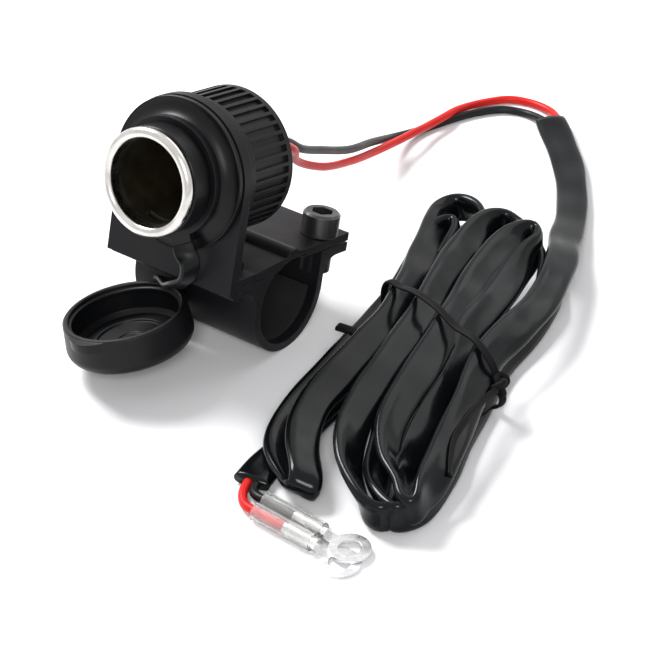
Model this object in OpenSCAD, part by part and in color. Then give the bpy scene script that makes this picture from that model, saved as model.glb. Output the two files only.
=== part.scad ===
// A 12 volt accessory socket on a bar clamp, with its tethered cap and its folded lead.
// X runs along the bar, Z is up, and the origin is on the bar's axis at mid width.
// The socket and its bracket lean back about the bar, so that the mouth looks slightly up.

/* [Bar clamp] */
// Diameter of the bar that the clamp holds
bar_d = 22; // [20:0.5:24]
// Width of the clamp and the bracket along the bar
clamp_w = 37.4; // [36:0.2:42]
// Thickness of the rubber liner in the lower jaw
liner_t = 0.6; // [0.4:0.1:1]
// Wall of the lower jaw round the bar
jaw_wall = 2; // [1.6:0.1:3]
// Thickness of each clamp ear
ear_t = 2.1; // [1.8:0.1:2.6]
// Gap between the two ears
ear_gap = 0.5; // [0.3:0.1:1]
// Length of the ears behind the screws' axes
ear_tip = 7.4; // [6:0.2:10]
// Thickness of the bracket's web in front of the bar
web_t = 1.9; // [1.4:0.1:2.6]
// Thickness of the roof over the bar
roof_t = 2.4; // [1.8:0.1:3.2]

/* [Clamp screws] */
// Diameter of the screw's thread
screw_d = 4.6; // [4:0.2:5]
// Diameter of the screw's head
screw_head_d = 9.4; // [8:0.2:9.6]
// Height of the screw's head
screw_head_h = 6; // [4:0.5:8]
// Width of the screw's hexagon socket across its flats
hex_key = 5; // [4:0.5:5.5]
// Outer diameter of the threaded insert
insert_d = 6; // [5.8:0.1:6.4]
// Length of the threaded insert
insert_len = 5.4; // [4:0.2:6]

/* [Bracket] */
// Height of the socket's axis above the bar's axis
socket_h = 32.4; // [31:0.2:36]
// Distance of the plate's front face before the bar's axis
plate_out = 25.9; // [25:0.1:28]
// Thickness of the upright plate
plate_t = 3; // [2.4:0.1:3.6]
// Backward lean of the whole bracket in degrees
lean = 14.7; // [12:0.1:18]

/* [Socket] */
// Distance of the socket's mouth before the bar's axis
mouth_out = 39.8; // [39.4:0.1:40.2]
// Bore of the metal barrel
bore_d = 21; // [20.6:0.1:21.2]
// Wall of the metal barrel
barrel_wall = 0.8; // [0.6:0.1:0.9]
// Inner depth of the barrel
barrel_depth = 32; // [31:0.2:32.4]
// Outer diameter of the rolled rim
rim_d = 26.2; // [26:0.1:26.4]
// Thickness of the rolled rim
rim_t = 2.4; // [2:0.1:2.6]
// Width of the plate that shows round the flange
flange_inset = 0.2; // [0.1:0.1:1]
// Outer diameter of the threaded tail
tail_d = 26.4; // [25.6:0.1:26.6]

/* [Rear housing] */
// Wall of the housing round the thread, with its ribs
housing_wall = 4.2; // [3.6:0.1:4.6]
// Length of the ribbed band with its two collars
housing_len = 18.5; // [17:0.5:20]
// Number of grip ribs
rib_count = 42; // [30:1:48]
// Width of one rib
rib_w = 0.9; // [0.7:0.1:1.3]
// Depth of the pockets between the ribs
rib_depth = 0.8; // [0.5:0.1:1.1]

/* [Cap] */
// Outer diameter of the cap's rim
cap_d = 30.6; // [30.4:0.1:31]
// Wall of the cap
cap_wall = 1.4; // [1.2:0.1:1.6]
// Depth of the cap over all
cap_depth = 9.8; // [9.4:0.1:10.2]
// Angle that the cap is open at rest, in degrees
cap_open = 115.3; // [113.3:0.1:116.3]
// Width of the strap
strap_w = 6; // [4:0.5:7]
// Thickness of the strap
strap_t = 1.6; // [1.2:0.1:1.8]

/* [Lead] */
// Diameter of one insulated wire
wire_d = 2.2; // [1.8:0.1:2.3]
// Width of the flattened sleeve
sleeve_w = 7.4; // [6.4:0.2:8]
// Height of the flattened sleeve
sleeve_h = 4.4; // [3.6:0.2:5]
// Length of the folded hank
hank_len = 116; // [104:1:116]
// Width of the folded hank
hank_w = 35; // [31:1:35]
// Height of the folded hank
hank_h = 15; // [12:0.5:18]
// Outer diameter of a terminal's ring
ring_d = 9.6; // [8:0.2:10]
// Hole in a terminal's ring
ring_hole_d = 5.3; // [4.3:0.1:6]
// Outer diameter of a terminal's clear sleeve
ferrule_d = 4.2; // [4.1:0.1:4.2]
// Length of a terminal's clear sleeve
ferrule_len = 17; // [15:0.5:18]

/* [Hidden] */
$fn = 96;
eps = 0.01;
// Clearance between a seated piece and its seat
fit = 0.05;
// Clearance between pieces that turn on each other
run = 0.3;

// Bar clamp, measured from the bar's axis in the bracket's own frame
bar_r = bar_d / 2;
jaw_bore_r = bar_r + liner_t;
jaw_r = jaw_bore_r + jaw_wall;
floor_z = -jaw_r;
ear_z = bar_r - 0.6;
jaw_ear_top = ear_z - ear_gap;
web_z = bar_r - 2.3;
boss_r = insert_d / 2 + 1;
screw_x = clamp_w / 2 - boss_r - 0.1;
screw_y = jaw_bore_r + 0.6 + insert_d / 2;
ear_end = screw_y + ear_tip;
ridge_r = 3.6;
fillet_r = 6;
rear_fillet_r = 4.5;
plate_back = -plate_out + plate_t;
plate_bottom = web_z - 2.1;
bead_r = 1.2;
bead_y = plate_back + 0.5;
bead_z = plate_bottom + 0.7;
hook_r = bead_r + 1.1;

// Socket, measured back from its mouth along its own axis
bore_r = bore_d / 2;
barrel_r = bore_r + barrel_wall;
rim_r = rim_d / 2;
neck_r = rim_r - 0.05;
flange_r = clamp_w / 2 - flange_inset;
washer_t = 0.6;
plate_s = mouth_out - plate_out;
flange_back = plate_s - washer_t;
ring_front = flange_back - 5;
ring_t = 2;
ring_seat_r = neck_r - 0.4;
tail_r = tail_d / 2;
tail_end = barrel_depth + barrel_wall;
bottom_s = barrel_depth;
step_s = barrel_depth - 4.6;
step_w = 0.6;
bottom_back = barrel_depth + barrel_wall;
housing_front = plate_s + plate_t + 0.1;
housing_back = housing_front + housing_len;
housing_r = tail_r + housing_wall;
snout_front = housing_back + 5;
snout_back = snout_front + 4;
snout_r = 6;
grommet_r = 4.1;
wire_gap = 1.4;
wire_r = wire_d / 2;
insulator_hub_r = 4.5;
insulator_flange_r = 8.5;
insulator_t = 1.1;
rivet_r = 1.6;
lug_s = bottom_back + 0.6;
lug_t = 0.8;
crimp_r = 1.7;
crimp_len = 3.4;
red_crimp_x = 5.6;
black_crimp_x = -6.6;

// Cap, in the frame of the socket when it is closed
cap_r = cap_d / 2;
// Length of the neck that the closed cap covers, just past the rolled rim
cap_over = 3;
cap_floor_t = 2;
cap_flare = 0.5;
cap_corner = 3;
cap_bead_r = neck_r + 0.25;
finger_r = 7;
finger_out = 1.6;
cap_hinge_at = [5, -23.633, 13.387];
cap_hinge_dir = [0.9025, -0.3431, -0.2602];
tab_angle = 49;
ring_tab_angle = 25;

// Lead, in the frame of the whole part
hank_at = [52.6, 9];
hank_turn = -72;
hank_corner = 9;
waist_x = -25;
waist_depth = 6.5;
waist_r = 60;
tie_t = 0.9;
tie_w = 2.4;
tie_shift = -7;
tie_turn = -42;
knot_r = 2.4;
knot_h = 3.3;
knot_at = [tie_shift / cos(tie_turn) - tan(tie_turn) * hank_w / 2, hank_w / 2];
terminal_t = 0.8;
barrel_crimp_r = 1.5;

module leaned() {
    rotate([-lean, 0, 0]) children();
}

// Children are drawn with z running back from the mouth along the socket's axis
module on_socket() {
    leaned() translate([0, -mouth_out, socket_h]) rotate([-90, 0, 0]) children();
}

// A profile in the plane across the bar becomes a solid of the given width along the bar
module across_bar(width, x = 0) {
    translate([x - width / 2, 0, 0]) rotate([90, 0, 90]) linear_extrude(width) children();
}

function lean_point(p) = [p.x, p.y * cos(lean) + p.z * sin(lean), p.z * cos(lean) - p.y * sin(lean)];
// A point on the socket's axis at distance s behind the mouth, moved aside by x
function socket_point(x, s) = lean_point([x, s - mouth_out, socket_h]);
function arc(c, r, a0, a1, n) = [for (i = [0:n]) let (a = a0 + (a1 - a0) * i / n) c + r * [cos(a), sin(a)]];

// Metal barrel: a drawn cup with a rolled rim and a slot for the plug's catch
module socket_barrel() {
    rim_round = rim_t / 2;
    color("silver") on_socket() difference() {
        rotate_extrude() {
            translate([bore_r, rim_round]) square([barrel_wall, bottom_back - rim_round]);
            translate([bore_r - step_w, step_s]) square([step_w + eps, bottom_back - step_s]);
            translate([bore_r + rim_round, rim_round]) circle(rim_round);
            translate([bore_r + rim_round, 0]) square([rim_r - bore_r - rim_t, rim_t]);
            translate([rim_r - rim_round, rim_round]) circle(rim_round);
            translate([insulator_hub_r + fit, bottom_s]) square([barrel_r - insulator_hub_r - fit, barrel_wall]);
        }
        translate([-3.5, bore_r - 2, 6.5]) cube([7, 4, 2.4]);
        translate([-3.5, -bore_r - 2, 6.5]) cube([7, 4, 2.4]);
    }
}
// Moulded body: neck, seat of the tether ring, dished flange and threaded tail
module socket_body() {
    dish_r = min(4, max(1, flange_r - ring_seat_r - 1.85));
    dish_c = [flange_r - 1.1, flange_back - 0.9 - dish_r];
    seat_end = ring_front + ring_t + run;
    start = asin((seat_end - dish_c.y) / dish_r);
    color([0.13, 0.13, 0.15]) on_socket() rotate_extrude() polygon(concat(
        [[barrel_r + fit, rim_t + fit], [neck_r - 0.3, rim_t + fit], [neck_r, rim_t + 0.35],
            [neck_r, ring_front - run], [ring_seat_r, ring_front - run + 0.3], [ring_seat_r, seat_end]],
        arc(dish_c, dish_r, 180 - start, 78, 12),
        [[flange_r - 0.25, flange_back - 1.2], [flange_r, flange_back - 1], [flange_r, flange_back],
            [tail_r, flange_back], [tail_r, tail_end], [barrel_r + fit, tail_end]]));
}

// Rubber washer between the flange and the plate
module sealing_washer() {
    color([0.09, 0.09, 0.1]) on_socket() translate([0, 0, flange_back]) difference() {
        cylinder(r = flange_r - 0.6, h = washer_t);
        translate([0, 0, -1]) cylinder(r = tail_r + fit, h = washer_t + 2);
    }
}

// Ribbed screw-on housing behind the plate, with a snout for the wires
module rear_housing() {
    inner_r = tail_r + run;
    cone_r = tail_r - 3.7;
    hole_r = grommet_r + run;
    ribs_front = housing_front + 3;
    ribs_back = housing_back - 2.4;
    pocket_w = 2 * PI * housing_r / rib_count - rib_w;
    color([0.14, 0.14, 0.16]) on_socket() difference() {
        rotate_extrude() polygon([
            [inner_r, housing_front], [housing_r - 0.3, housing_front], [housing_r, housing_front + 0.3],
            [housing_r, housing_back - 0.8], [housing_r - 0.8, housing_back], [cone_r, snout_front],
            [snout_r, snout_front], [snout_r, snout_back - 0.4], [snout_r - 0.4, snout_back],
            [hole_r, snout_back], [hole_r, snout_front - 1], [cone_r - 1, snout_front - 1],
            [inner_r, housing_back - 0.5]]);
        for (i = [0:rib_count - 1]) {
            rotate([0, 0, 360 * i / rib_count])
                translate([housing_r - rib_depth, -pocket_w / 2, ribs_front])
                    cube([rib_depth + 1, pocket_w, ribs_back - ribs_front]);
        }
    }
}

// Disc that keeps the centre contact off the barrel's bottom
module insulator_disc() {
    color([0.55, 0.32, 0.2]) on_socket() difference() {
        union() {
            translate([0, 0, bottom_s - insulator_t]) cylinder(r = insulator_flange_r, h = insulator_t);
            translate([0, 0, bottom_s - eps]) cylinder(r = insulator_hub_r, h = barrel_wall + 0.6 + eps);
        }
        translate([0, 0, bottom_s - 5]) cylinder(r = rivet_r + fit, h = 10);
    }
}
// Centre contact: a domed button on a rivet
module centre_contact() {
    button_r = 3.2;
    tail_s = lug_s + lug_t;
    color([0.8, 0.68, 0.36]) on_socket() rotate_extrude() polygon(concat(
        [[0, bottom_s - insulator_t - 2.2]],
        arc([button_r - 1.2, bottom_s - insulator_t - 1], 1.2, -90, 0, 6),
        [[button_r, bottom_s - insulator_t], [rivet_r, bottom_s - insulator_t], [rivet_r, tail_s],
            [rivet_r + 1.1, tail_s], [rivet_r + 0.8, tail_s + 0.8], [0, tail_s + 0.9]]));
}

// Flat lug with a crimp barrel that points back at the given place beside the axis
module crimp(x, s) {
    translate([x, 0, s]) difference() {
        cylinder(r = crimp_r, h = crimp_len);
        translate([0, 0, lug_t]) cylinder(r = wire_r + fit, h = crimp_len);
    }
}

module centre_lug() {
    color([0.78, 0.78, 0.8]) on_socket() {
        difference() {
            union() {
                translate([0, 0, lug_s]) cylinder(r = 3.6, h = lug_t);
                translate([0, -crimp_r, lug_s]) cube([red_crimp_x, 2 * crimp_r, lug_t]);
            }
            translate([0, 0, lug_s - 1]) cylinder(r = rivet_r + fit, h = 4);
        }
        crimp(red_crimp_x, lug_s);
    }
}

module earth_lug() {
    tab_r = 2.4;
    color([0.78, 0.78, 0.8]) on_socket() {
        translate([black_crimp_x, 0, bottom_back]) cylinder(r = tab_r - 0.6, h = lug_t);
        translate([black_crimp_x - tab_r, 0, bottom_back]) cylinder(r = tab_r - 0.6, h = lug_t);
        translate([black_crimp_x - tab_r, -tab_r + 0.6, bottom_back]) cube([tab_r, 2 * tab_r - 1.2, lug_t]);
        crimp(black_crimp_x, bottom_back);
    }
}

// Rubber grommet in the snout, with one hole for each wire
module wire_grommet() {
    color([0.1, 0.1, 0.11]) on_socket() difference() {
        union() {
            translate([0, 0, snout_front - 0.5]) cylinder(r = grommet_r, h = snout_back - snout_front + 1);
            translate([0, 0, snout_back + run]) cylinder(r = snout_r - 0.6, h = 1.2);
        }
        for (x = [-wire_gap, wire_gap])
            translate([x, 0, snout_front - 2]) cylinder(r = wire_r + fit, h = 12);
    }
}

// Bracket: upright plate, web, roof over the bar and upper ear in one moulding
module bracket() {
    hole_r = tail_r + 0.15;
    color([0.15, 0.15, 0.17]) leaned() {
        difference() {
            translate([0, plate_back, 0]) rotate([90, 0, 0]) linear_extrude(plate_t) union() {
                translate([0, socket_h]) circle(clamp_w / 2);
                translate([-clamp_w / 2, plate_bottom]) square([clamp_w, socket_h - plate_bottom]);
            }
            translate([0, -plate_out - 1, socket_h]) rotate([-90, 0, 0]) cylinder(r = hole_r, h = plate_t + 2);
        }
        difference() {
            across_bar(clamp_w) union() {
                translate([plate_back - eps, web_z]) square([-plate_back - 5, web_t]);
                translate([-6, web_z]) polygon([[-10, web_t], [0, web_t + 1.1], [6, web_t + 1.1], [6, 0], [-10, 0]]);
                translate([-0.8, bar_r + roof_t - ridge_r]) circle(ridge_r);
                translate([-1, ear_z]) square([ear_end + 1, ear_t]);
            }
            rotate([0, 90, 0]) cylinder(r = bar_r, h = clamp_w + 2, center = true);
            for (side = [-1, 1])
                translate([side * screw_x, screw_y, 0]) cylinder(r = screw_d / 2 + 0.45, h = 2 * bar_r);
            for (side = [-1, 1])
                translate([side * clamp_w / 2 - 0.5, 2.4, bar_r - 0.3]) cube([1, 2.6, 0.5]);
        }
        // Bead at the plate's foot that the lower jaw hooks round
        across_bar(clamp_w) translate([bead_y, bead_z]) circle(bead_r);
        for (side = [-1, 1]) gusset(side * (clamp_w / 2 - 4.6));
    }
}

// Gusset between the plate and the web
module gusset(x) {
    across_bar(2.6, x) polygon([[plate_back - eps, web_z + 1], [plate_back + 6, web_z + 1],
        [plate_back + 6, web_z + web_t + 1.5], [plate_back + 2.4, web_z + web_t + 5],
        [plate_back - eps, web_z + web_t + 5]]);
}

// Lower jaw: ring round the bar, front hook, rear wall with its ear and two screw bosses
module clamp_jaw() {
    front_y = bead_y;
    fillet_c = [-jaw_r - fillet_r, -0.2];
    rear_wall_y = jaw_r + 0.1;
    ear_bottom = jaw_ear_top - ear_t - 0.2;
    rear_c = [rear_wall_y + rear_fillet_r, ear_bottom - rear_fillet_r];
    boss_bottom = jaw_ear_top - insert_len - 1.2;
    color([0.16, 0.16, 0.18]) leaned() difference() {
        union() {
            across_bar(clamp_w) difference() {
                union() {
                    circle(jaw_r);
                    difference() {
                        translate([front_y, fillet_c.y]) square([-front_y, web_z - run - fillet_c.y]);
                        translate(fillet_c) circle(fillet_r);
                        translate([front_y - 1, fillet_c.y - 1])
                            square([fillet_c.x - front_y + 1, fillet_r + 1]);
                    }
                    translate([bead_y, bead_z]) circle(hook_r);
                    difference() {
                        translate([0, rear_c.y]) square([ear_end, jaw_ear_top - rear_c.y]);
                        translate(rear_c) circle(rear_fillet_r);
                        translate([rear_c.x, rear_c.y - 1]) square([ear_end, rear_fillet_r + 1]);
                    }
                    translate([0, -1]) square([rear_wall_y, rear_c.y + 2]);
                }
                circle(jaw_bore_r);
                translate([bead_y, bead_z]) circle(bead_r + run / 2);
                translate([-jaw_bore_r / 2, 0]) square([jaw_bore_r * 1.5, 2 * bar_r]);
                translate([front_y - 5, plate_bottom - run]) square([5.2, 2 * bar_r]);
                translate([front_y - 1, web_z - run]) square([12 - front_y, 2 * bar_r - web_z - 4]);
            }
            for (side = [-1, 1])
                translate([side * screw_x, screw_y, boss_bottom])
                    cylinder(r = boss_r, h = jaw_ear_top - boss_bottom - 1);
        }
        rotate([0, 90, 0]) cylinder(r = jaw_bore_r, h = clamp_w + 2, center = true);
        for (side = [-1, 1])
            translate([side * screw_x, screw_y, jaw_ear_top - insert_len]) cylinder(r = insert_d / 2 + fit, h = 20);
    }
}

// Rubber liner bonded into the lower jaw
module jaw_liner() {
    inset = 2.4;
    color([0.2, 0.2, 0.22]) leaned() difference() {
        rotate([0, 90, 0]) cylinder(r = jaw_bore_r, h = clamp_w - 2 * inset, center = true);
        rotate([0, 90, 0]) cylinder(r = bar_r, h = clamp_w, center = true);
        translate([-clamp_w, -jaw_bore_r * 0.66, 0]) cube([2 * clamp_w, 3 * bar_r, 2 * bar_r]);
        translate([-clamp_w, -2 * bar_r, web_z - 2 * run]) cube([2 * clamp_w, 4 * bar_r, 2 * bar_r]);
    }
}

module clamp_screw(side) {
    color([0.12, 0.12, 0.13]) leaned() translate([side * screw_x, screw_y, ear_z + ear_t + fit]) difference() {
        union() {
            rotate_extrude() polygon([[0, 0], [screw_head_d / 2 - 0.2, 0], [screw_head_d / 2, 0.2],
                [screw_head_d / 2, screw_head_h - 0.6], [screw_head_d / 2 - 0.6, screw_head_h], [0, screw_head_h]]);
            translate([0, 0, 0.4 - ear_t - ear_gap - insert_len]) cylinder(r = screw_d / 2, h = ear_t + ear_gap + insert_len);
        }
        translate([0, 0, screw_head_h - 3]) cylinder(r = hex_key / sqrt(3), h = 4, $fn = 6);
    }
}
module clamp_screw_right() { clamp_screw(1); }
module clamp_screw_left() { clamp_screw(-1); }

// Brass threaded insert in the lower jaw's boss
module insert(side) {
    color([0.78, 0.62, 0.3]) leaned() translate([side * screw_x, screw_y, jaw_ear_top - insert_len + fit]) difference() {
        cylinder(r = insert_d / 2, h = insert_len - 2 * fit);
        translate([0, 0, -1]) cylinder(r = screw_d / 2 + 0.25, h = insert_len + 2);
    }
}
module insert_right() { insert(1); }
module insert_left() { insert(-1); }

// Loose ring of the cap's tether, in its seat on the neck
module tether_ring() {
    outer_r = neck_r + 1.4;
    color([0.11, 0.11, 0.12]) on_socket() translate([0, 0, ring_front]) linear_extrude(ring_t) difference() {
        union() {
            circle(outer_r);
            rotate(-ring_tab_angle) translate([-strap_w / 2, 0]) square([strap_w, outer_r + 1.4]);
        }
        circle(ring_seat_r + fit);
    }
}

// Strap between the tether ring and the cap, as it lies with the cap open
strap_route = [[6.5, -30.3, 16.4], [9.3, -30.4, 13.6], [8.7, -30.2, 9.4], [5, -28.8, 6.2], [0.3, -23.8, 2.8],
    [-6.11, -16.32, 0.04]];
strap_across = [[0.9, 0, 0.4], [0.5, 0.9, 0.1], [0.2, 1, 0], [0.5, 0.8, 0], [0.8, 0.5, 0.1], [0.95, -0.25, 0.2]];
module strap_rod(i) {
    way = strap_across[i] / norm(strap_across[i]);
    width = i == 0 ? strap_w : strap_w - 1.4;
    tip = strap_route[i] - way * width / 2;
    turn = acos(way.z);
    translate(tip) rotate(a = turn, v = cross([0, 0, 1], way)) cylinder(r = strap_t / 2, h = width, $fn = 16);
}
module cap_strap() {
    color([0.11, 0.11, 0.12]) leaned() for (i = [0:len(strap_route) - 2]) hull() {
        strap_rod(i);
        strap_rod(i + 1);
    }
}

// Cap: a cup that widens to its floor, with a snap bead, a raised ring inside and a finger lip
module cap_closed() {
    lip_r = cap_r - cap_wall;
    body_r = cap_r + cap_flare;
    front = cap_over - cap_depth;
    floor_s = front + cap_floor_t;
    rotate_extrude() polygon(concat(
        [[0, front]], arc([body_r - cap_corner, front + cap_corner], cap_corner, -90, 0, 8),
        [[cap_r, cap_over - 0.4], [cap_r - 0.4, cap_over], [lip_r + 0.3, cap_over], [lip_r, cap_over - 0.3],
            [lip_r, cap_over - 1], [cap_bead_r, cap_over - 1.3], [cap_bead_r, cap_over - 2.1],
            [cap_bead_r + 0.3, cap_over - 2.4], [cap_bead_r + 0.3, floor_s + 1], [cap_bead_r - 0.7, floor_s],
            [9.4, floor_s], [9.2, floor_s + 0.5], [8.6, floor_s + 0.5], [8.4, floor_s],
            [3.4, floor_s], [3.2, floor_s - 0.3], [0, floor_s - 0.3]]));
    rotate([0, 0, -tab_angle]) difference() {
        translate([cap_r + finger_out - finger_r, 0, cap_over - 2.8]) cylinder(r = finger_r, h = 2.5);
        translate([0, 0, cap_over - 4]) cylinder(r = cap_r - 0.7, h = 5);
    }
}

module cap() {
    color([0.12, 0.13, 0.14]) leaned() translate(cap_hinge_at) rotate(a = cap_open, v = cap_hinge_dir)
        translate(-cap_hinge_at) translate([0, -mouth_out, socket_h]) rotate([-90, 0, 0]) cap_closed();
}

// A cord of elliptical section through the points of its route
function unit(v) = v / norm(v);
function tangent(p, i) = unit(p[min(i + 1, len(p) - 1)] - p[max(i - 1, 0)]);
function ring_points(c, t, w, h, sides) = let (s = unit(cross(t, [0, 0, 1])), u = cross(s, t))
    [for (k = [0:sides - 1]) c + s * w / 2 * cos(360 * k / sides) + u * h / 2 * sin(360 * k / sides)];
module cord(route, w, h, sides) {
    last = len(route) - 1;
    points = [for (i = [0:last]) each ring_points(route[i], tangent(route, i), w, h, sides)];
    walls = [for (i = [0:last - 1]) for (k = [0:sides - 1]) let (a = i * sides + k, b = i * sides + (k + 1) % sides)
        each [[a, b, b + sides], [a, b + sides, a + sides]]];
    front = [for (k = [sides - 1:-1:0]) k];
    back = [for (k = [0:sides - 1]) last * sides + k];
    polyhedron(points, concat([front], walls, [back]));
}

// Routes of the two wires between the lugs, the grommet and the sleeve's mouth
wire_z = floor_z + wire_r;
red_route = concat(
    [socket_point(red_crimp_x, lug_s + lug_t + 0.6), socket_point(red_crimp_x, lug_s + crimp_len + 0.8),
        socket_point(wire_gap, snout_front - 0.8), socket_point(wire_gap, snout_back + 1.5)],
    [[1.5, 20, 28], [1, 26, 23.5], [-2, 31, 17], [-4, 45, 7.5], [-6.5, 61, 0.5], [-9, 75, -4.5],
        [-10.3, 89.5, -8], [-10.3, 96.5, -9], [-10.3, 103, -10], [-9.8, 110, -10.4], [-9.8, 117.5, -11.4],
        [-6.5, 127.5, wire_z], [-2, 132.5, wire_z], [4.5, 134.3, wire_z], [11.5, 132.6, -11.9],
        [15.9, 129.1, -11.3]]);
black_route = concat(
    [socket_point(black_crimp_x, bottom_back + lug_t + 0.6), socket_point(black_crimp_x, bottom_back + crimp_len + 0.8),
        socket_point(-wire_gap, snout_front - 0.8), socket_point(-wire_gap, snout_back + 1.5)],
    [[-1.5, 20, 28.5], [-1.5, 27, 24.5], [-2, 33, 19.5], [-4, 45, 12.5], [-6.5, 60, 4.5], [-11, 77, -3],
        [-14.2, 95, -10.6], [-14, 100.5, wire_z], [-12, 103.5, wire_z], [-9, 111, wire_z], [-7.5, 116, wire_z],
        [-5.5, 121, wire_z], [-0.5, 126.5, wire_z], [6, 128.5, wire_z], [12.9, 126.1, -11.3]]);
module red_wire() { color("red") cord(red_route, wire_d, wire_d, 8); }
module black_wire() { color([0.15, 0.15, 0.16]) cord(black_route, wire_d, wire_d, 8); }

// Sleeve from the wires to the hank, and its short end beyond the hank
sleeve_z = floor_z + sleeve_h / 2;
lead_route = [[14.5, 127.5, sleeve_z], [22, 120, sleeve_z], [32, 109, sleeve_z], [41, 96, sleeve_z],
    [47, 84, sleeve_z], [50, 76, -9.6], [50.2, 67.8, -7.5]];
tail_route = [[43.6, -33, sleeve_z], [44.3, -42, sleeve_z], [45.5, -50.5, sleeve_z]];
module lead_sleeve() { color([0.16, 0.17, 0.18]) cord(lead_route, sleeve_w, sleeve_h, 10); }
module tail_sleeve() { color([0.16, 0.17, 0.18]) cord(tail_route, sleeve_w, sleeve_h, 10); }

// Hank: the folded sleeve as one block with round corners, a waist and a groove under its tie
module hank_outline(inset = 0) {
    l = hank_len - 2 * inset;
    w = hank_w - 2 * inset;
    r = hank_corner - inset;
    difference() {
        union() {
            square([l - 2 * r, w], center = true);
            square([l, w - 2 * r], center = true);
            for (x = [-1, 1], y = [-1, 1]) translate([x * (l / 2 - r), y * (w / 2 - r)]) circle(r);
        }
        translate([waist_x, waist_depth - hank_w / 2 - waist_r]) circle(waist_r + inset);
    }
}
module at_hank() {
    translate([hank_at.x, hank_at.y, floor_z]) rotate([0, 0, hank_turn]) children();
}
// The skin of the hank, where the tie lies in its groove
module tie_band(width, depth) {
    intersection() {
        rotate([0, 0, tie_turn]) translate([tie_shift - width / 2, -hank_w, 0]) cube([width, 2 * hank_w, hank_h]);
        difference() {
            linear_extrude(hank_h) hank_outline();
            translate([0, 0, depth]) linear_extrude(hank_h - 2 * depth) hank_outline(depth);
        }
    }
}
module lead_hank() {
    color([0.15, 0.16, 0.17]) at_hank() difference() {
        linear_extrude(hank_h) hank_outline();
        tie_band(tie_w + 2 * fit, tie_t + fit);
    }
}

// Tie round the hank, with its knot at the side
module cord_tie() {
    color([0.1, 0.1, 0.11]) at_hank() {
        tie_band(tie_w, tie_t);
        translate([knot_at.x, knot_at.y + fit + knot_h, hank_h / 2]) rotate([90, 0, 0])
            cylinder(r = knot_r, h = knot_h);
        translate([knot_at.x, knot_at.y + 1, hank_h / 2]) rotate([90, 0, 0])
            cylinder(r = tie_w / 2, h = 1 + tie_t / 2);
    }
}

// Terminals: a crimp barrel and a flat ring, each in a clear sleeve
red_term_at = [53.2, -58.8, floor_z + ferrule_d / 2];
black_term_at = [52.7, -54.4, floor_z + ferrule_d / 2];
term_turn = -4;
red_ring_drop = ferrule_d / 2;
black_ring_drop = red_ring_drop - terminal_t - 0.1;
ferrule_wall = 0.5;
module at_terminal(at) {
    translate(at) rotate([0, 0, term_turn]) children();
}
module terminal(drop) {
    barrel_end = ferrule_len + 1.4;
    ring_x = barrel_end + ring_d / 2 + 1.6;
    color([0.82, 0.82, 0.84]) difference() {
        union() {
            translate([ferrule_len - 8, 0, 0]) rotate([0, 90, 0])
                cylinder(r = barrel_crimp_r, h = barrel_end - ferrule_len + 8);
            translate([ferrule_len + 0.4, -barrel_crimp_r, -drop])
                cube([ring_x - ferrule_len - 0.4, 2 * barrel_crimp_r, terminal_t]);
            translate([ring_x, 0, -drop]) cylinder(d = ring_d, h = terminal_t);
        }
        translate([ring_x, 0, -drop - 1]) cylinder(d = ring_hole_d, h = 4);
        translate([ferrule_len - 9, 0, 0]) rotate([0, 90, 0]) cylinder(r = wire_r + fit, h = 6);
    }
}
module ferrule() {
    color([0.9, 0.9, 0.92, 0.5]) rotate([0, 90, 0]) difference() {
        cylinder(d = ferrule_d, h = ferrule_len);
        translate([0, 0, -1]) cylinder(d = ferrule_d - 2 * ferrule_wall, h = ferrule_len + 2);
    }
}
module red_terminal() { at_terminal(red_term_at) terminal(red_ring_drop); }
module black_terminal() { at_terminal(black_term_at) terminal(black_ring_drop); }
module red_ferrule() { at_terminal(red_term_at) ferrule(); }
module black_ferrule() { at_terminal(black_term_at) ferrule(); }

// Short wires from the sleeve's end into the terminals
function term_point(at, x) = at + x * [cos(term_turn), sin(term_turn), 0];
red_tail_route = [[44.4, -50.8, sleeve_z], [45.2, -54, sleeve_z], [47, -57, sleeve_z - 0.1],
    [50, -58.5, red_term_at.z], term_point(red_term_at, -1), term_point(red_term_at, ferrule_len - 4)];
black_tail_route = [[47.2, -50.4, sleeve_z], [48, -52.6, sleeve_z], [49.8, -54, black_term_at.z],
    term_point(black_term_at, -0.5), term_point(black_term_at, ferrule_len - 4)];
module tail_red_wire() { color("red") cord(red_tail_route, wire_d, wire_d, 8); }
module tail_black_wire() { color([0.15, 0.15, 0.16]) cord(black_tail_route, wire_d, wire_d, 8); }

socket_barrel();
socket_body();
rear_housing();
sealing_washer();
insulator_disc();
centre_contact();
centre_lug();
earth_lug();
wire_grommet();
bracket();
clamp_jaw();
jaw_liner();
clamp_screw_right();
clamp_screw_left();
insert_right();
insert_left();
tether_ring();
cap_strap();
cap();
red_wire();
black_wire();
lead_sleeve();
lead_hank();
tail_sleeve();
tail_red_wire();
tail_black_wire();
red_terminal();
black_terminal();
red_ferrule();
black_ferrule();
cord_tie();
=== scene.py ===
"""Looks of the 12 volt socket on its bar clamp.

The CAD nodes get their finishes here. The wires, the tether strap, the tie and the folded sleeve
are pieces of their own, which replace their CAD nodes.
"""
import math

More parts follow.
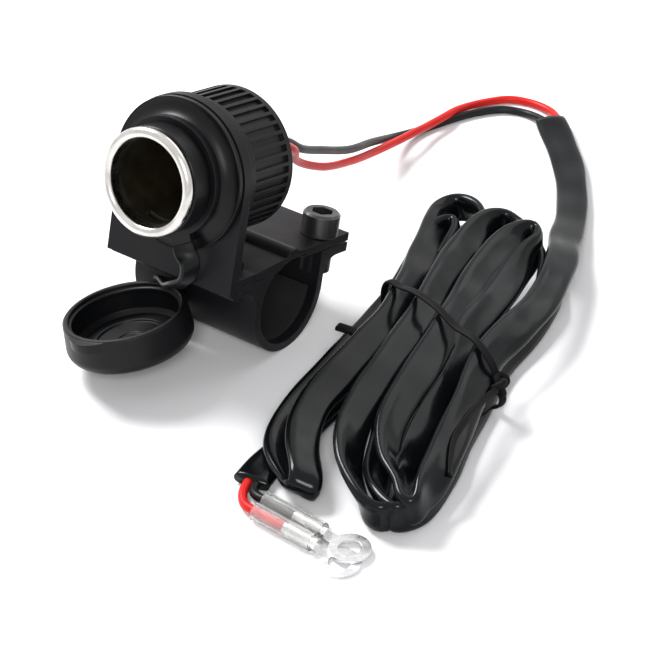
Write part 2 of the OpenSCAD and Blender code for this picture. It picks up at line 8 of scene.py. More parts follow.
import bpy
import bmesh
import numpy as np
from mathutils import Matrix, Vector


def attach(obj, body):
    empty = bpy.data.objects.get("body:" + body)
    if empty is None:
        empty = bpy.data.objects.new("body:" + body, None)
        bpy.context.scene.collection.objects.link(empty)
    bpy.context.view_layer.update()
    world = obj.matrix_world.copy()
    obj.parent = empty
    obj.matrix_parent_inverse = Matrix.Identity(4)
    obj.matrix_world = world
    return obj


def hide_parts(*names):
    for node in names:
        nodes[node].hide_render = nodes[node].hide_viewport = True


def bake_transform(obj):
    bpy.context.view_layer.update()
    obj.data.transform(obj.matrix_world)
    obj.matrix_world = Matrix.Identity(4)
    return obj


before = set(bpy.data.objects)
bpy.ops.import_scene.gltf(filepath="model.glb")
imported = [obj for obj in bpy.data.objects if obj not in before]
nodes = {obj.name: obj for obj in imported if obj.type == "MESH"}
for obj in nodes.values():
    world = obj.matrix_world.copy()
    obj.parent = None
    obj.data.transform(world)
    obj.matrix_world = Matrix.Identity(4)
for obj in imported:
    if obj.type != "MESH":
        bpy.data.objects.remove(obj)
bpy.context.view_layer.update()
ROOT = "bracket_body"
MM = 0.001
# The bracket's own frame is turned by this angle about the bar's axis, so that the mouth looks up
LEAN = math.radians(14.7)
# The mouth of the socket in the bracket's own frame, in mm from the bar's axis
MOUTH_Y, MOUTH_Z = -39.8, 32.4
# The floor under the model, in mm from the bar's axis, and the gap that keeps it off the faces
FLOOR = -13.6
FLOOR_GAP = 0.02

VIEW_AZIMUTH, VIEW_ELEVATION = math.radians(36.18), math.radians(34.87)
CAMERA_AT = (335.2, -417.9, 357.6)
CAMERA_LENS, CAMERA_SENSOR = 144, 36


def lean(p):
    """A point of the bracket's own frame, in mm, as a point of the row frame, in metres."""
    x, y, z = p
    c, s = math.cos(LEAN), math.sin(LEAN)
    return Vector((x, y * c + z * s, z * c - y * s)) * MM


def make_camera():
    """A long lens that looks from the photograph's viewing angle."""
    cam = bpy.data.objects.new("Camera", bpy.data.cameras.new("Camera"))
    bpy.context.scene.collection.objects.link(cam)
    cam.data.sensor_width = CAMERA_SENSOR
    cam.data.lens = CAMERA_LENS
    a, e = VIEW_AZIMUTH, VIEW_ELEVATION
    back = Vector((math.sin(a) * math.cos(e), -math.cos(a) * math.cos(e), math.sin(e)))
    cam.location = Vector(CAMERA_AT) * MM
    cam.rotation_mode = "QUATERNION"
    cam.rotation_quaternion = (-back).to_track_quat("-Z", "Y")
    cam.data.clip_start, cam.data.clip_end = 0.05, 10
    bpy.context.scene.camera = cam


make_camera()


class Nodes:
    """A small helper that builds a node material."""

    def __init__(self, name):
        self.mat = bpy.data.materials.new(name)
        self.mat.use_nodes = True
        self.tree = self.mat.node_tree
        self.bsdf = self.tree.nodes["Principled BSDF"]
        self.coord = self.new("ShaderNodeTexCoord").outputs["Object"]

    def new(self, kind, **values):
        n = self.tree.nodes.new(kind)
        for k, v in values.items():
            setattr(n, k, v)
        return n

    def link(self, a, b):
        self.tree.links.new(a, b)

    def feed(self, socket, value):
        """Links a node's output to the socket, or sets the socket to a colour, vector or number."""
        if hasattr(value, "node"):
            self.link(value, socket)
        elif isinstance(value, tuple):
            socket.default_value = (*value, 1)
        else:
            socket.default_value = value

    def noise(self, scale, detail, rough=0.55):
        n = self.new("ShaderNodeTexNoise")
        n.inputs["Scale"].default_value = scale
        n.inputs["Detail"].default_value = detail
        n.inputs["Roughness"].default_value = rough
        self.link(self.coord, n.inputs["Vector"])
        return n.outputs["Fac"]

    def ramp(self, fac, dark, light, start=0.3, end=0.7):
        """Turns a factor into a colour between dark and light."""
        r = self.new("ShaderNodeValToRGB")
        for stop, place, colour in zip(r.color_ramp.elements, (start, end), (dark, light)):
            stop.position = place
            stop.color = (*colour, 1)
        self.link(fac, r.inputs["Fac"])
        return r.outputs["Color"]

    def span(self, fac, lo, hi, start=0.3, end=0.7):
        """Maps a factor from start..end to lo..hi."""
        r = self.new("ShaderNodeMapRange")
        for socket, v in zip(r.inputs[1:5], (start, end, lo, hi)):
            socket.default_value = v
        self.link(fac, r.inputs["Value"])
        return r.outputs["Result"]

    def mix(self, fac, a, b):
        """Mixes two colours; 6, 7 and 2 are the colour sockets of the mix node."""
        m = self.new("ShaderNodeMix", data_type="RGBA")
        for i, v in ((0, fac), (6, a), (7, b)):
            self.feed(m.inputs[i], v)
        return m.outputs[2]

    def math(self, op, a, b):
        m = self.new("ShaderNodeMath", operation=op)
        self.feed(m.inputs[0], a)
        self.feed(m.inputs[1], b)
        return m.outputs[0]

    def dot(self, a, b):
        d = self.new("ShaderNodeVectorMath", operation="DOT_PRODUCT")
        self.feed(d.inputs[0], a)
        self.feed(d.inputs[1], b)
        return d.outputs["Value"]

    def rounded(self, size):
        """A normal that rounds sharp edges off over the given size."""
        b = self.new("ShaderNodeBevel", samples=6)
        b.inputs["Radius"].default_value = size
        return b.outputs["Normal"]

    def edges(self, size):
        """1 on sharp outer edges, 0 elsewhere."""
        g = self.new("ShaderNodeNewGeometry")
        return self.span(self.dot(self.rounded(size), g.outputs["Normal"]), 1.0, 0.0, 0.86, 0.995)

    def bump(self, height, strength, distance, base=None):
        b = self.new("ShaderNodeBump")
        b.inputs["Strength"].default_value = strength
        b.inputs["Distance"].default_value = distance
        self.link(height, b.inputs["Height"])
        if base is not None:
            self.link(base, b.inputs["Normal"])
        return b.outputs["Normal"]

    def finish(self, **sockets):
        """Feeds the shader's sockets and returns the material."""
        for k, v in sockets.items():
            self.feed(self.bsdf.inputs[k.replace("_", " ")], v)
        return self.mat


def plastic(name, dark, light, rough, wear, spec=0.5, edge=(0.10, 0.10, 0.11), edge_size=0.25,
            grain=260, grain_depth=0.02):
    """Moulded plastic: slightly uneven colour and gloss, fine grain, and paler rounded edges."""
    n = Nodes(name)
    col = n.ramp(n.noise(38, 3), dark, light, 0.3, 0.72)
    patchy = n.span(n.noise(170, 4), 0.25, 1.0, 0.35, 0.65)
    scuff = n.math("MULTIPLY", n.edges(edge_size * MM), patchy)
    col = n.mix(n.math("MULTIPLY", scuff, wear), col, edge)
    r = n.span(n.noise(70, 4), *rough)
    nor = n.bump(n.noise(1400, 2), grain_depth, 0.05 * MM, n.rounded(edge_size * MM))
    nor = n.bump(n.noise(grain, 2), grain_depth * 0.8, 0.12 * MM, nor)
    return n.finish(Base_Color=col, Roughness=r, Normal=nor, Specular_IOR_Level=spec)


def metal(name, dark, light, rough, scale):
    """Bare metal: faint stains in its colour and gloss, and softly rounded edges."""
    n = Nodes(name)
    col = n.ramp(n.noise(scale, 4, 0.6), dark, light)
    r = n.span(n.noise(scale * 2.2, 3, 0.6), *rough)
    nor = n.bump(n.noise(scale * 5, 3, 0.6), 0.03, 0.06 * MM, n.rounded(0.15 * MM))
    return n.finish(Base_Color=col, Metallic=1.0, Roughness=r, Normal=nor)


def nickel_cup():
    """Bright plate on the rolled rim whose colour darkens to olive brown down the bore as painted
    shade of the recess; it grows rougher there too.
    """
    n = Nodes("nickel")
    bright = n.ramp(n.noise(120, 4, 0.6), (0.50, 0.485, 0.46), (0.72, 0.70, 0.67))
    # Dark olive brown colour deep in the bore: painted shade of the recess
    painted_bore_shade = n.ramp(n.noise(60, 4, 0.6), (0.085, 0.074, 0.050), (0.16, 0.14, 0.095))
    axis = lean((0, 1 / MM, 0))
    mouth = lean((0, MOUTH_Y, MOUTH_Z)).dot(axis)
    inside = n.span(n.dot(n.coord, axis), 0, 1, mouth + 1.5 * MM, mouth + 5 * MM)
    # The mix darkens the colour with depth into the bore as painted shade
    col = n.mix(inside, bright, painted_bore_shade)
    r = n.math("ADD", n.span(n.noise(264, 3, 0.6), 0.14, 0.26), n.math("MULTIPLY", inside, 0.25))
    nor = n.bump(n.noise(600, 3, 0.6), 0.03, 0.06 * MM, n.rounded(0.15 * MM))
    return n.finish(Base_Color=col, Metallic=1.0, Roughness=r, Normal=nor)


def vinyl(name, dark, light, rough, depth):
    """Soft vinyl skin: long faint ripples, glossy and slightly uneven."""
    n = Nodes(name)
    col = n.ramp(n.noise(60, 4), dark, light)
    r = n.span(n.noise(110, 4), *rough)
    nor = n.bump(n.noise(240, 3), depth, 0.25 * MM)
    nor = n.bump(n.noise(1500, 2), depth * 0.4, 0.05 * MM, nor)
    return n.finish(Base_Color=col, Roughness=r, Normal=nor, Specular_IOR_Level=0.17)


def clear_sleeve():
    """Clear shrink tube over the terminals' crimps."""
    n = Nodes("clear_sleeve")
    r = n.span(n.noise(300, 3), 0.08, 0.2)
    nor = n.bump(n.noise(420, 3), 0.15, 0.2 * MM)
    col = n.ramp(n.noise(200, 2), (0.86, 0.86, 0.85), (0.95, 0.95, 0.94))
    return n.finish(Base_Color=col, Roughness=r, Normal=nor, Transmission_Weight=0.88, IOR=1.22)


M = {
    "moulding": plastic("gloss_moulding", (0.0022, 0.0022, 0.0028), (0.0042, 0.0042, 0.0052),
                        (0.26, 0.42), wear=0.22, spec=0.18, edge=(0.05, 0.05, 0.052)),
    "housing": plastic("housing_moulding", (0.0022, 0.0022, 0.0028), (0.0045, 0.0045, 0.0055),
                       (0.3, 0.46), wear=0.26, spec=0.18, edge=(0.05, 0.05, 0.053)),
    "bracket": plastic("matt_moulding", (0.0026, 0.0026, 0.0034), (0.0052, 0.0052, 0.0068),
                       (0.4, 0.56), wear=0.28, spec=0.18, edge=(0.05, 0.05, 0.056),
                       grain_depth=0.05),
    "cap": plastic("cap_rubber", (0.0026, 0.0028, 0.0034), (0.0050, 0.0054, 0.0062),
                   (0.32, 0.46), wear=0.25, spec=0.18, edge=(0.04, 0.04, 0.043), edge_size=0.35),
    "rubber": plastic("seal_rubber", (0.006, 0.006, 0.007), (0.010, 0.010, 0.012),
                      (0.62, 0.8), wear=0.15, spec=0.3, grain_depth=0.08),
    "screw": plastic("black_screw", (0.008, 0.008, 0.009), (0.016, 0.016, 0.018),
                     (0.24, 0.4), wear=0.6, spec=0.7, edge=(0.24, 0.24, 0.25), edge_size=0.2,
                     grain_depth=0.06),
    "nickel": nickel_cup(),
    "brass": metal("brass", (0.16, 0.12, 0.055), (0.26, 0.20, 0.10), (0.35, 0.5), 140),
    "tin": metal("tin_plate", (0.62, 0.62, 0.63), (0.86, 0.86, 0.86), (0.2, 0.38), 160),
    "board": plastic("insulator_board", (0.10, 0.05, 0.025), (0.16, 0.085, 0.04),
                     (0.5, 0.7), wear=0.1, grain=500, grain_depth=0.2),
    "red": vinyl("red_insulation", (0.52, 0.010, 0.009), (0.66, 0.022, 0.015), (0.3, 0.45), 0.05),
    "black": vinyl("black_insulation", (0.004, 0.0045, 0.005), (0.008, 0.009, 0.010),
                   (0.3, 0.45), 0.05),
    "sleeve": vinyl("sleeve_vinyl", (0.0018, 0.0024, 0.0030), (0.0036, 0.0046, 0.0056),
                    (0.13, 0.24), 0.12),
    "tie": plastic("tie", (0.002, 0.002, 0.0025), (0.005, 0.005, 0.006),
                   (0.5, 0.7), wear=0.12, spec=0.1, grain_depth=0.15),
    "clear": clear_sleeve(),
}
FINISHES = {
    "nickel": ["socket_barrel"],
    "moulding": ["socket_body"],
    "housing": ["rear_housing"],
    "bracket": ["bracket", "clamp_jaw"],
    "cap": ["tether_ring", "cap", "cap_strap"],
    "rubber": ["sealing_washer", "wire_grommet", "jaw_liner"],
    "board": ["insulator_disc"],
    "brass": ["centre_contact", "insert_right", "insert_left"],
    "tin": ["centre_lug", "earth_lug", "red_terminal", "black_terminal"],
    "screw": ["clamp_screw_right", "clamp_screw_left"],
    "clear": ["red_ferrule", "black_ferrule"],
    "tie": ["cord_tie"],
    "sleeve": ["lead_hank", "lead_sleeve", "tail_sleeve"],
    "red": ["red_wire", "tail_red_wire"],
    "black": ["black_wire", "tail_black_wire"],
}
for finish, names in FINISHES.items():
    for name in names:
        slots = nodes[name].data.materials
        slots.clear()
        slots.append(M[finish])


def smooth_path(points, step):
    """Evenly spaced points on a centripetal Catmull-Rom curve through the points."""
    p = np.array(points, float)
    p = np.vstack([2 * p[0] - p[1], p, 2 * p[-1] - p[-2]])
    out = []
    for i in range(1, len(p) - 2):
        p0, p1, p2, p3 = p[i - 1:i + 3]
        t = [0.0]
        for a, b in ((p0, p1), (p1, p2), (p2, p3)):
            t.append(t[-1] + max(np.linalg.norm(b - a), 1e-9) ** 0.5)
        for u in np.linspace(t[1], t[2], 24, endpoint=False):
            a1 = (t[1] - u) / (t[1] - t[0]) * p0 + (u - t[0]) / (t[1] - t[0]) * p1
            a2 = (t[2] - u) / (t[2] - t[1]) * p1 + (u - t[1]) / (t[2] - t[1]) * p2
            a3 = (t[3] - u) / (t[3] - t[2]) * p2 + (u - t[2]) / (t[3] - t[2]) * p3
            b1 = (t[2] - u) / (t[2] - t[0]) * a1 + (u - t[0]) / (t[2] - t[0]) * a2
            b2 = (t[3] - u) / (t[3] - t[1]) * a2 + (u - t[1]) / (t[3] - t[1]) * a3
            out.append((t[2] - u) / (t[2] - t[1]) * b1 + (u - t[1]) / (t[2] - t[1]) * b2)
    out.append(p[-2])
    out = np.array(out)
    d = np.r_[0, np.cumsum(np.linalg.norm(np.diff(out, axis=0), axis=1))]
    s = np.linspace(0, d[-1], max(2, int(round(d[-1] / step)) + 1))
    return np.stack([np.interp(s, d, out[:, k]) for k in range(out.shape[1])], 1)


def unit(v):
    return v / np.linalg.norm(v)


def softened(values):
    """One pass that moves each inner row towards its neighbours."""
    return (values[:-2] + 2 * values[1:-1] + values[2:]) / 4


def mesh_object(name, verts, faces, material, slot, body=ROOT):
    """A smooth shaded mesh that rides on the body, or on none where the caller bakes its place into
    the mesh.
    """
    me = bpy.data.meshes.new(name)
    me.from_pydata([tuple(v) for v in verts], [], faces)
    me.materials.append(material)
    bm = bmesh.new()
    bm.from_mesh(me)
    bmesh.ops.recalc_face_normals(bm, faces=bm.faces)
    bm.to_mesh(me)
    bm.free()
    me.polygons.foreach_set("use_smooth", [True] * len(me.polygons))
    o = bpy.data.objects.new(name, me)
    bpy.context.scene.collection.objects.link(o)
    if body:
        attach(o, body)
    return o


def tube_mesh(path, ring, wide=None):
    """Sweeps ring(i), a list of (a, b) offsets, along the path and closes both ends.

    wide is the direction of a at each point of the path.
    """
    p = np.array(path, float)
    n = len(p)
    t = np.gradient(p, axis=0)
    t /= np.linalg.norm(t, axis=1)[:, None]
    if wide is None:
        w = np.cross(t[0], [0.0, 0.0, 1.0])
        wide = []
        for along in t:
            w = w - (w @ along) * along
            w /= np.linalg.norm(w)
            wide.append(w)
        wide = np.array(wide)
    else:
        wide = wide - (wide * t).sum(1)[:, None] * t
        wide /= np.linalg.norm(wide, axis=1)[:, None]
    up = np.cross(wide, t)
    verts, faces = [], []
    for i in range(n):
        offsets = ring(i)
        k = len(offsets)
        verts += [p[i] + wide[i] * a + up[i] * b for a, b in offsets]
    for i in range(n - 1):
        for j in range(k):
            a, b = i * k + j, i * k + (j + 1) % k
            faces.append((a, b, b + k, a + k))
    faces.append(tuple(range(k - 1, -1, -1)))
    faces.append(tuple((n - 1) * k + j for j in range(k)))
    return verts, faces


def oval(sides, power=1.0):
    """Points round a circle of radius 1; a power below 1 squares it towards a box."""
    out = []
    for j in range(sides):
        c, s = math.cos(2 * math.pi * j / sides), math.sin(2 * math.pi * j / sides)
        out.append((math.copysign(abs(c) ** power, c), math.copysign(abs(s) ** power, s)))
    return out


def round_tube(path, radius, sides):
    """A round tube along a path in mm."""
    offsets = [(radius * MM * c, radius * MM * s) for c, s in oval(sides)]
    return tube_mesh(path * MM, lambda i: offsets)


def on_floor(verts):
    """The points with none of them below the floor, where a soft piece flattens."""
    return [(v[0], v[1], max(v[2], (FLOOR + FLOOR_GAP) * MM)) for v in verts]


# The lead wires. The tails run from the snout to the sleeve, in mm in the row frame
WIRE_R = 1.1
SNOUT_FRONT, SNOUT_BACK = 40.5, 44.5
RED_TAIL = [
    (1.5, 20, 28), (1, 26, 23.5), (-2, 31, 17), (-4, 45, 7.5), (-6.5, 61, 0.5), (-9, 75, -4.5),
    (-10.3, 89.5, -8), (-10.3, 96.5, -9), (-10.3, 103, -10), (-9.8, 110, -10.4),
    (-9.8, 117.5, -11.4), (-6.5, 127.5, -12.5), (-2, 132.5, -12.5), (4.5, 134.3, -12.5),
    (11.5, 132.6, -11.9), (15.9, 129.1, -11.3),
]
BLACK_TAIL = [
    (-1.5, 20, 28.5), (-1.5, 27, 24.5), (-2, 33, 19.5), (-4, 45, 12.5), (-6.5, 60, 4.5),
    (-11, 77, -3), (-13.8, 93, -9.8), (-13.2, 101, -11.9), (-11.3, 108, -12.5),
    (-8.8, 114.5, -12.5), (-5.8, 120.5, -12.5), (-0.5, 126.5, -12.5), (6, 128.5, -12.5),
    (12.9, 126.1, -11.3),
]
# A wire's end goes on into the sleeve's mouth by this much
INTO_SLEEVE = np.array([0.707, -0.707, 0]) * 2.5


def socket_point(x, depth):
    """A point at a depth behind the socket's mouth, x beside its axis, in mm in the row frame."""
    return np.array(lean((x, MOUTH_Y + depth, MOUTH_Z))) / MM


def wire(name, x, lug, tail, node, key, slot):
    """One wire from its lug (x, depth) through the snout and along its tail into the sleeve."""
    lug_x, lug_depth = lug
    inner = [socket_point(lug_x, lug_depth + 1.4), socket_point(lug_x, lug_depth + 4.2),
             socket_point(x, SNOUT_FRONT - 0.8), socket_point(x, SNOUT_BACK + 1.5)]
    outer = [np.array(p, float) for p in tail]
    path = smooth_path(inner + outer + [outer[-1] + INTO_SLEEVE], 0.8)
    o = mesh_object(name, *round_tube(path, WIRE_R, 16), M[key], slot)
    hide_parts(node)


wire("red_lead_wire", 1.4, (5.6, 33.4), RED_TAIL, "red_wire", "red", "red_insulation")
wire("black_lead_wire", -1.4, (-6.6, 32.8), BLACK_TAIL, "black_wire", "black", "black_insulation")

# The folded sleeve. Each point: along the hank, across it, height of the middle above the floor,
# all in mm, and roll of the flat side in degrees
HANK_AT = np.array([52.6, 9.0])
HANK_ALONG = np.array([math.cos(math.radians(-72)), math.sin(math.radians(-72))])
HANK_ACROSS = np.array([-HANK_ALONG[1], HANK_ALONG[0]])
LEAD_IN = [
    (-124.5, 0.4, 2, 0), (-115, 5.2, 2, 0), (-101.5, 11.3, 2, 0), (-86.3, 15.9, 2.2, 0),
    (-73.1, 18.6, 3.4, 0), (-61.3, 20.0, 5.6, -10),
]
RUN_1 = [
    (-47.3, 22.4, 8.5, -15), (-25.3, 22.9, 10.5, -25), (-11.6, 20.5, 11.5, -30),
    (3.2, 16.9, 11.5, -40), (12.6, 16.7, 11, -35), (24.8, 16.9, 10.5, -30), (37.1, 16.7, 9.5, -30),
    (47.0, 16.5, 8.5, -45), (54.2, 15.6, 7, -75), (58.6, 15.0, 6.2, -90), (58.4, 12.2, 6.2, -90),
]
RUN_2 = [
    (53.2, 10.4, 7.2, -70), (45.0, 5.2, 8.8, -45), (35.8, 2.4, 10.4, -30), (24.6, 2.6, 11.6, -25),
    (10.9, 4.0, 12.3, -25), (-6.5, 4.9, 12.3, -35), (-20.4, 5.3, 11.8, -30),
    (-35.2, 6.2, 11.2, -25), (-46.5, 8.0, 10.4, -30), (-53.0, 10.0, 9.6, -50),
    (-56.2, 12.6, 8.6, -80), (-53.6, 14.8, 8.0, -80),
]
RUN_3 = [
    (-46.5, 13.9, 8.2, -55), (-36.1, 12.6, 8.8, -30), (-21.2, 11.1, 9.4, -30),
    (-7.1, 9.3, 9.8, -40), (5.1, 9.5, 8.8, -35), (17.9, 9.0, 7.6, -30), (30.5, 8.0, 6.4, -30),
    (41.8, 8.0, 5.6, -50), (52.6, 9.3, 5.0, -75), (60.6, 9.2, 4.6, -90), (60.4, 5.4, 4.6, -90),
]
RUN_4 = [
    (56.8, 2.0, 5.6, -70), (48.5, -3.5, 7.8, -45), (39.2, -6.0, 9.4, -30), (27.9, -6.2, 10.4, -25),
    (16.1, -5.0, 11.2, -25), (1.9, -3.6, 11.8, -25), (-13.2, -2.3, 11.8, -35),
    (-27.4, -2.5, 11.2, -30), (-41.3, -1.9, 10.4, -30), (-51.5, -0.9, 9.4, -42),
    (-59.2, 0.8, 8, -62), (-62.4, 4.0, 6.6, -80), (-58.8, 11.0, 5.2, -75),
]
RUN_5 = [
    (-50.5, 18.0, 4.6, -55), (-36.7, 21.6, 4.3, -40), (-17.1, 19.9, 4, -35), (-4, 17, 4, -35),
    (10.3, 16.6, 4, -35), (26.6, 16.1, 4, -35), (42.1, 16.1, 4, -40), (53.6, 15.2, 4.4, -60),
    (59.0, 13.0, 4.7, -85), (60.2, 10.8, 4.7, -90),
]
RUN_6 = [
    (52.3, 4.3, 4.6, -60), (35, 0.9, 4.9, -30), (10.4, -0.2, 5.2, -25), (-10.3, 0.9, 5.4, -25),
    (-29.5, 0.8, 5.4, -30), (-46.3, 1.2, 5.4, -35), (-56.0, 0.6, 5.6, -50),
    (-63.6, -2.5, 5.6, -75), (-68.2, -7.4, 5.4, -80),
]
RUN_7 = [
    (-68.2, -10.8, 5.2, -75), (-64.0, -13.2, 5.6, -55), (-55.7, -12.9, 6.5, -45),
    (-39.5, -11.4, 8, -35), (-23.7, -10.1, 9.6, -30), (-8.1, -10.5, 9.5, -30),
    (5.1, -13, 9.2, -30), (17.4, -15.7, 8.5, -28), (27.9, -18.1, 7.8, -24),
    (36.6, -18.0, 7.4, -20), (44.8, -16, 7.2, -16), (51.8, -12.8, 6.8, -14),
    (56.2, -11.4, 5.6, -14),
]
RUN_8 = [
    (56.4, -12.2, 3.7, -14), (51.5, -15.6, 2.9, -14), (43.4, -21.6, 2.9, -16),
    (32.2, -23.4, 3.1, -20), (15.2, -21.6, 3.1, -20), (-4, -17.5, 3.1, -20),
    (-24.4, -14, 3.1, -20), (-43.8, -12.9, 4.1, -40), (-55.4, -12.2, 4.8, -75),
    (-58.9, -9.8, 4.8, -90),
]
RUN_9 = [
    (-56.0, -7.3, 4.8, -75), (-46, -6.0, 4.1, -40), (-31.5, -6.6, 2.6, -12), (-8.7, -9.0, 2.2, -6),
    (11.2, -13.4, 2.1, -4), (25.5, -17.8, 1.9, 0), (34.9, -20.4, 1.6, 0), (42.0, -22.7, 1.5, 0),
    (48, -24.2, 1.5, 0), (54.4, -25.1, 1.5, 0),
]
SLEEVE_W, SLEEVE_T = 8.6, 2.8
# The roll goes through the same curve as the place does, at this many mm for each degree, and
# comes back at this many degrees for each mm
ROLL_MM, ROLL_DEGREES = 0.1, 10


def hank_point(a, b, h):
    """A point along and across the hank and above the floor, as a point in the row frame, in mm."""
    x, y = HANK_AT + HANK_ALONG * a + HANK_ACROSS * b
    return (x, y, FLOOR + h)


def make_sleeve():
    """Flat vinyl sleeve on one smooth curve.

    Its edges are rounded, its middle is a little sunken, and it pinches at the folds.
    """
    points = LEAD_IN + RUN_1 + RUN_2 + RUN_3 + RUN_4 + RUN_5 + RUN_6 + RUN_7 + RUN_8 + RUN_9
    rows = smooth_path([(*hank_point(a, b, h), roll * ROLL_MM) for a, b, h, roll in points], 1.1)
    path, roll = rows[:, :3], np.radians(rows[:, 3] * ROLL_DEGREES)
    for _ in range(3):
        path[1:-1] = softened(path)
        roll[1:-1] = softened(roll)
    s = np.cumsum(np.r_[0, np.linalg.norm(np.diff(path, axis=0), axis=1)])
    roll = roll + 0.07 * np.sin(s / 13.0) + 0.05 * np.sin(s / 5.3 + 1.0)
    across = np.array([*HANK_ACROSS, 0.0])
    wide = np.cos(roll)[:, None] * across + np.sin(roll)[:, None] * np.array([0, 0, 1.0])
    tangent = np.gradient(path, axis=0)
    tangent /= np.linalg.norm(tangent, axis=1)[:, None]
    turned = np.linalg.norm(np.gradient(tangent, axis=0), axis=1)
    pinch = np.clip(turned / np.maximum(np.gradient(s), 1e-6) / 0.35, 0, 1)
    pinch = np.convolve(np.pad(pinch, 4, mode="edge"), np.ones(9) / 9, "valid")
    uneven_w = 1 + 0.03 * np.sin(s / 9.0) + 0.02 * np.sin(s / 3.1)
    uneven_t = 1 + 0.08 * np.sin(s / 7.0 + 2) + 0.05 * np.sin(s / 2.3)
    half_w = SLEEVE_W / 2 * uneven_w * (1 - 0.10 * pinch)
    half_t = SLEEVE_T / 2 * uneven_t * (1 + 0.25 * pinch)
    ends = np.minimum(s, s[-1] - s)
    section = oval(24, 0.75)

    def ring(i):
        mouth = math.exp(-(ends[i] / 4.0) ** 2)
        depth = (0.22 + 0.10 * math.sin(s[i] / 11.0)) * (1 - mouth)
        out = []
        for x, y in section:
            sunken = 1 - depth * math.exp(-(x / 0.45) ** 2)
            out.append((x * half_w[i] * MM, y * half_t[i] * sunken * (1 + 0.18 * mouth) * MM))
        return out

    v, f = tube_mesh(path * MM, ring, wide)
    o = mesh_object("folded_sleeve", on_floor(v), f, M["sleeve"], "sleeve_vinyl")
    return o, path, float(s[-1])


sleeve, sleeve_path, sleeve_len = make_sleeve()
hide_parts("lead_sleeve", "lead_hank", "tail_sleeve")

# The tie: a strip round the bundle with a knot at the right side and two ends. Its plane is turned
# by this angle from square across the hank and moved by this many mm along it
TIE_TURN = math.radians(-38)
TIE_SHIFT = -5.4
# Each point of the hoop: across the hank and above the floor
TIE_HOOP = [
    (20.9, 9.2), (19.0, 12.9), (13.6, 16.0), (7.5, 15.3), (1.2, 16.5), (-5.6, 15.9), (-10.2, 14.1),
    (-14.4, 12.9), (-15.9, 9.6), (-15.6, 4.4), (-13, 0.7), (0, 0.5), (14, 0.6), (20.2, 1.4),
    (22.6, 5.0), (21.4, 8.6),
]
# Each point of the ends: along the hank, across it and above the floor
TIE_TAIL = [
    (12.6, 21.6, 9.4), (19.5, 20.2, 10.9), (26.9, 18.9, 11.4), (35.3, 17.7, 10.9), (41, 18.4, 9.9),
    (46.3, 19.7, 8.4),
]
TIE_STUB = [
    (-6.3, -23.9, 5.0), (-5.4, -20.5, 5.2), (-4.2, -17.2, 5.2), (-2.8, -14.3, 5.0),
]


def tie_point(b, h):
    """A point in the hoop's plane, across the hank and above the floor, in the row frame, in mm."""
    return hank_point((TIE_SHIFT - b * math.sin(TIE_TURN)) / math.cos(TIE_TURN), b, h)


def tie_band(name, points, half_w, half_t, across):
    """A band with round edges along points in mm; across is the direction of its width."""
    rows = smooth_path([(*p, *across) for p in points], 0.5)
    section = [(a * half_w * MM, b * half_t * MM) for a, b in oval(16, 0.6)]
    v, f = tube_mesh(rows[:, :3] * MM, lambda i: section, rows[:, 3:])
    return mesh_object(name, on_floor(v), f, M["tie"], "tie")


def tie_knot():
    """A small trefoil knot at the side of the hoop."""
    centre = np.array(tie_point(21.6, 9.0))
    path = []
    for q in np.linspace(0, 2 * math.pi, 90):
        a = (math.sin(q) + 2 * math.sin(2 * q)) * 0.85
        b = (math.cos(q) - 2 * math.cos(2 * q)) * 0.8
        h = -math.sin(3 * q) * 1.1
        x, y = HANK_ALONG * a + HANK_ACROSS * h
        path.append(centre + np.array([x, y, b]))
    return mesh_object("tie_knot", *round_tube(np.array(path), 0.85, 12), M["tie"], "tie")


def make_tie():
    normal = (*(HANK_ALONG * math.cos(TIE_TURN) + HANK_ACROSS * math.sin(TIE_TURN)), 0.0)
    hoop = tie_band("tie_hoop", [tie_point(*q) for q in TIE_HOOP], 1.0, 0.4, normal)
    knot = tie_knot()
    flat = (*(HANK_ACROSS * 0.4), -0.9)
    tail = tie_band("tie_tail", [hank_point(*q) for q in TIE_TAIL], 0.9, 0.35, flat)
    stub = tie_band("tie_stub", [hank_point(*q) for q in TIE_STUB], 1.3, 0.7, (*HANK_ALONG, 0.0))
    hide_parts("cord_tie")
    return [hoop, knot, tail, stub]


# The wires between the sleeve's lower mouth and the terminals, in mm in the row frame
RED_END = [
    (44.7, -49.4, -12.1), (44.9, -50.8, -12.1), (46.3, -54.6, -12.2), (48.8, -57.4, -12.1),
    (51.2, -58.5, -11.7), (53.2, -58.8, -11.5), (66.17, -59.71, -11.5),
]
BLACK_END = [
    (46.8, -49.2, -12.1), (47.0, -50.4, -12.1), (48.2, -52.9, -12.0), (50.2, -54.1, -11.7),
    (52.7, -54.4, -11.5), (65.67, -55.31, -11.5),
]


def short_wire(name, points, key, slot, node):
    """One wire between the sleeve's mouth and its terminal."""
    o = mesh_object(name, *round_tube(smooth_path(points, 0.5), WIRE_R, 16), M[key], slot)
    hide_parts(node)
    return o


on_sleeve = make_tie()
on_sleeve += [
    short_wire("red_wire_end", RED_END, "red", "red_insulation", "tail_red_wire"),
    short_wire("black_wire_end", BLACK_END, "black", "black_insulation", "tail_black_wire"),
]
on_sleeve += [nodes[n] for n in ("red_terminal", "black_terminal", "red_ferrule", "black_ferrule")]

# The tether strap, in the bracket's own frame: points in mm, and the direction of its width at each
STRAP_ROUTE = [
    (6.5, -30.3, 17.4), (7.6, -30.4, 15.6), (9.3, -30.4, 13.4), (8.9, -30.1, 9.6),
    (5.2, -28.6, 6.3), (0.4, -23.6, 2.9), (-6.11, -16.32, 0.04), (-7.2, -15.1, -0.5),
]
STRAP_ACROSS = [
    (0.9, 0, 0.4), (0.8, 0.4, 0.3), (0.5, 0.9, 0.1), (0.2, 1, 0), (0.5, 0.8, 0), (0.8, 0.5, 0.1),
    (0.95, -0.25, 0.2), (0.95, -0.25, 0.2),
]
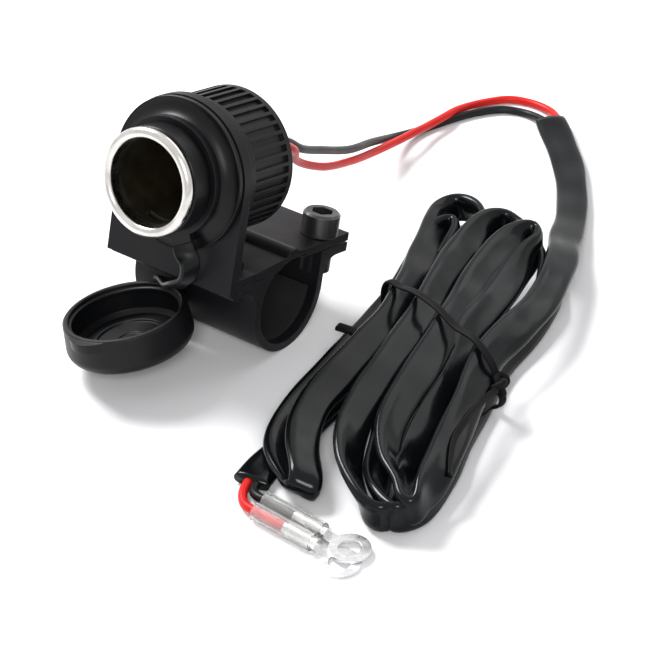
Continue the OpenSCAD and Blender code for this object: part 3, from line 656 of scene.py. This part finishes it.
# Half its width in mm at these shares of the way, and half its thickness
STRAP_SHARES, STRAP_HALF_W = [0, 0.2, 0.45, 0.8, 1], [3.0, 2.6, 2.4, 2.7, 3.6]
STRAP_HALF_T = 0.7


def make_strap():
    """Tether strap: one smooth moulded ribbon from the ring's tab down to the open cap."""
    points = [np.array(lean(q)) / MM for q in STRAP_ROUTE]
    sides = [unit(np.array(lean(d))) for d in STRAP_ACROSS]
    half = np.interp(np.linspace(0, 1, len(points)), STRAP_SHARES, STRAP_HALF_W)
    rows = smooth_path([(*q, *w, h) for q, w, h in zip(points, sides, half)], 0.35)
    path, wide, width = rows[:, :3], rows[:, 3:6], rows[:, 6]
    # The long edges carry a low rib
    section = [(x, y * STRAP_HALF_T * (1 + 0.22 * math.exp(-((abs(x) - 0.86) / 0.14) ** 2)) * MM)
               for x, y in oval(24, 0.45)]
    v, f = tube_mesh(path * MM, lambda i: [(x * width[i] * MM, y) for x, y in section], wide)
    o = mesh_object("tether_strap", v, f, M["cap"], "cap_rubber", body=None)
    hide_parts("cap_strap")
    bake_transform(o)


make_strap()

FLOOR_COLOUR = (0.93, 0.93, 0.945, 1)
WORLD_LIGHT, WORLD_SEEN = 0.37, 1.0
LAMP_TARGET = (0.02, 0.03, 0.01)


def make_floor():
    me = bpy.data.meshes.new("floor")
    me.from_pydata([(-2, -2, 0), (2, -2, 0), (2, 2, 0), (-2, 2, 0)], [], [(0, 1, 2, 3)])
    floor = bpy.data.objects.new("floor", me)
    floor.location = (0, 0, (FLOOR - FLOOR_GAP) * MM)
    bpy.context.scene.collection.objects.link(floor)
    mat = bpy.data.materials.new("floor")
    mat.use_nodes = True
    shader = mat.node_tree.nodes["Principled BSDF"]
    shader.inputs["Base Color"].default_value = FLOOR_COLOUR
    shader.inputs["Roughness"].default_value = 0.6
    shader.inputs["Specular IOR Level"].default_value = 0.1
    me.materials.append(mat)


def make_world():
    """A dim white world that the camera, clear parts and reflections see as plain white."""
    world = bpy.data.worlds.new("World")
    bpy.context.scene.world = world
    world.use_nodes = True
    tree = world.node_tree
    light = tree.nodes["Background"]
    seen = tree.nodes.new("ShaderNodeBackground")
    for background, strength in ((light, WORLD_LIGHT), (seen, WORLD_SEEN)):
        background.inputs["Color"].default_value = (1, 1, 1, 1)
        background.inputs["Strength"].default_value = strength
    rays = tree.nodes.new("ShaderNodeLightPath")
    either = rays.outputs["Is Camera Ray"]
    for ray in ("Is Transmission Ray", "Is Glossy Ray"):
        most = tree.nodes.new("ShaderNodeMath")
        most.operation = "MAXIMUM"
        tree.links.new(either, most.inputs[0])
        tree.links.new(rays.outputs[ray], most.inputs[1])
        either = most.outputs[0]
    mix = tree.nodes.new("ShaderNodeMixShader")
    for socket, source in zip(mix.inputs, (either, light.outputs[0], seen.outputs[0])):
        tree.links.new(source, socket)
    tree.links.new(mix.outputs[0], tree.nodes["World Output"].inputs["Surface"])


def lamp(name, at, size, power):
    """A soft rectangular lamp, size in metres and power in watts."""
    light = bpy.data.lights.new(name, "AREA")
    light.shape = "RECTANGLE"
    light.size, light.size_y = size
    light.energy = power
    o = bpy.data.objects.new(name, light)
    o.location = at
    o.rotation_mode = "QUATERNION"
    o.rotation_quaternion = (Vector(LAMP_TARGET) - Vector(at)).to_track_quat("-Z", "Y")
    bpy.context.scene.collection.objects.link(o)


make_floor()
make_world()
lamp("key", (-0.62, 0.10, 0.70), (0.38, 0.38), 14)
lamp("fill", (0.5, -0.7, 0.6), (0.3, 0.3), 5)
lamp("rim", (0.15, 0.7, 0.65), (0.7, 0.5), 1.5)

bpy.context.scene.view_settings.view_transform = "Standard"
